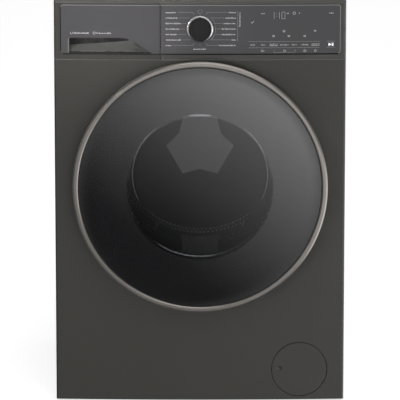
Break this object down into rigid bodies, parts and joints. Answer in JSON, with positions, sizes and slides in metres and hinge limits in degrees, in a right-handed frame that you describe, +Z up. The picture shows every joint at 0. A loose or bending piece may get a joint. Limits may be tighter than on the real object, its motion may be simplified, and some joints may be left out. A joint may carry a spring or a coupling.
{
  "type": "front load washing machine",
  "caption": "Freestanding front loading washing machine with round glass door, drawer, dial, suspended tub and drum.",
  "frame": {"origin": "on the floor under the middle of the machine's box, feet screwed in", "axes": "+Z up, +Y from the front towards the rear wall, +X to the right as seen from the front"},
  "size_m": [0.596, 0.59, 0.85],
  "materials": {
    "body_paint": "satin dark grey enamel",
    "worktop_paint": "satin grey laminate",
    "zinc_sheet": "galvanised sheet",
    "fascia_plastic": "fine satin",
    "fascia_overlay": "brushed dark film under clear coat",
    "dial_metal": "polished turned ring",
    "dial_plastic": "black satin",
    "drawer_plastic": "moulded light grey",
    "blue_plastic": "blue",
    "board": "solder mask green",
    "tinted_glass": "black tinted, polished",
    "clear_glass": "clear moulded",
    "ring_metal": "satin champagne",
    "door_plastic": "black",
    "door_grey": "light grey",
    "hinge_metal": "nickel plated",
    "lock_plastic": "black",
    "gasket_rubber": "grey",
    "tub_plastic": "filled polypropylene",
    "concrete": "cast concrete",
    "iron": "rough casting",
    "stainless": "polished stainless",
    "cast_aluminium": "as cast",
    "steel": "ground",
    "spring_steel": "oiled",
    "belt_rubber": "ribbed",
    "hose_rubber": "moulded",
    "base_plastic": "black",
    "pump_plastic": "moulded",
    "foot_rubber": "black",
    "valve_plastic": "moulded white",
    "grey_hose": "corrugated grey"
  },
  "bodies": {
    "cabinet": {"side_panels": "body_paint", "rear_panel": "zinc_sheet", "front_panel": "body_paint", "worktop": "worktop_paint", "top_crossbars": "zinc_sheet", "base_tray": "base_plastic", "transit_caps": "lock_plastic", "screw_heads": "steel", "fascia_frame": "fascia_plastic", "fascia_insert": "fascia_overlay", "control_board": "board", "dispenser_housing": "drawer_plastic", "door_hinge_bracket": "hinge_metal", "door_hinge_pin": "steel", "door_lock": "lock_plastic", "door_gasket": "gasket_rubber", "gasket_clamp": "steel", "damper_cylinders": "base_plastic", "suspension_springs": "spring_steel", "pump_body": "pump_plastic", "tub_hoses": "hose_rubber", "drain_line": "grey_hose", "inlet_valve": "valve_plastic", "cord_gland": "lock_plastic"},
    "door": {"door_glass": "tinted_glass", "door_ring": "ring_metal", "door_frame": "door_plastic", "door_bowl": "clear_glass", "door_inner_frame": "door_grey", "door_hinge_leaf": "hinge_metal", "door_latch_hook": "hinge_metal"},
    "drawer": {"drawer_front": "fascia_plastic", "drawer_insert": "fascia_overlay", "detergent_drawer": "drawer_plastic", "siphon_cap": "blue_plastic"},
    "selector": {"selector_ring": "dial_metal", "selector_cap": "dial_plastic"},
    "tub": {"tub_front": "tub_plastic", "tub_rear": "tub_plastic", "counterweights_front": "iron", "counterweight_top": "concrete", "heater_element": "steel", "tub_bearings": "steel", "shaft_seal": "belt_rubber", "damper_rods": "steel", "drive_belt": "belt_rubber", "motor_body": "cast_aluminium"},
    "drum": {"drum_shell": "stainless", "drum_front": "stainless", "drum_back": "stainless", "drum_lifters": "tub_plastic", "drum_spider": "cast_aluminium", "drum_pulley": "cast_aluminium"},
    "motor_rotor": {"motor_pulley": "steel"},
    "service_cover": {"filter_cover": "body_paint"},
    "lint_filter": {"pump_filter": "door_grey"},
    "front_left_foot": {"foot_front_left": "foot_rubber"},
    "front_right_foot": {"foot_front_right": "foot_rubber"},
    "rear_left_foot": {"foot_rear_left": "foot_rubber"},
    "rear_right_foot": {"foot_rear_right": "foot_rubber"}
  },
  "joints": [
    {"name": "door_hinge", "type": "hinge", "parent": "cabinet", "child": "door", "pos_m": [-0.248, -0.279, 0.4615], "axis": [0, 0, -1], "range_deg": [0, 130]},
    {"name": "drawer_slide", "type": "slide", "parent": "cabinet", "child": "drawer", "axis": [0, -1, 0], "range_m": [0, 0.15]},
    {"name": "selector_turn", "type": "hinge", "parent": "cabinet", "child": "selector", "pos_m": [0, -0.27, 0.7872], "axis": [0, -1, 0], "continuous": true},
    {"name": "tub_suspension", "type": "slide", "parent": "cabinet", "child": "tub", "axis": [0, 0, 1], "range_m": [-0.01, 0.01], "stiffness_N_per_m": 18000, "springref_m": 0.0219, "deforming": ["suspension_springs", "door_gasket", "tub_hoses"]},
    {"name": "drum_spin", "type": "hinge", "parent": "tub", "child": "drum", "pos_m": [0, 0.2, 0.4615], "axis": [0, 1, 0], "continuous": true},
    {"name": "motor_spin", "type": "hinge", "parent": "tub", "child": "motor_rotor", "pos_m": [-0.04, 0.2, 0.116], "axis": [0, 1, 0], "continuous": true},
    {"name": "service_cover_hinge", "type": "hinge", "parent": "cabinet", "child": "service_cover", "pos_m": [0.25446, -0.25817, 0.0714], "axis": [0, 0, 1], "range_deg": [0, 110]},
    {"name": "lint_filter_turn", "type": "hinge", "parent": "cabinet", "child": "lint_filter", "pos_m": [0.2057, -0.2, 0.0714], "axis": [0, -1, 0], "range_deg": [-270, 0]},
    {"name": "front_left_foot_screw", "type": "slide", "parent": "cabinet", "child": "front_left_foot", "axis": [0, 0, -1], "range_m": [0, 0.015]},
    {"name": "front_right_foot_screw", "type": "slide", "parent": "cabinet", "child": "front_right_foot", "axis": [0, 0, -1], "range_m": [0, 0.015]},
    {"name": "rear_left_foot_screw", "type": "slide", "parent": "cabinet", "child": "rear_left_foot", "axis": [0, 0, -1], "range_m": [0, 0.015]},
    {"name": "rear_right_foot_screw", "type": "slide", "parent": "cabinet", "child": "rear_right_foot", "axis": [0, 0, -1], "range_m": [0, 0.015]}
  ],
  "couplings": [
    {"joint": "motor_spin", "follows": "drum_spin", "ratio": 12.727}
  ]
}
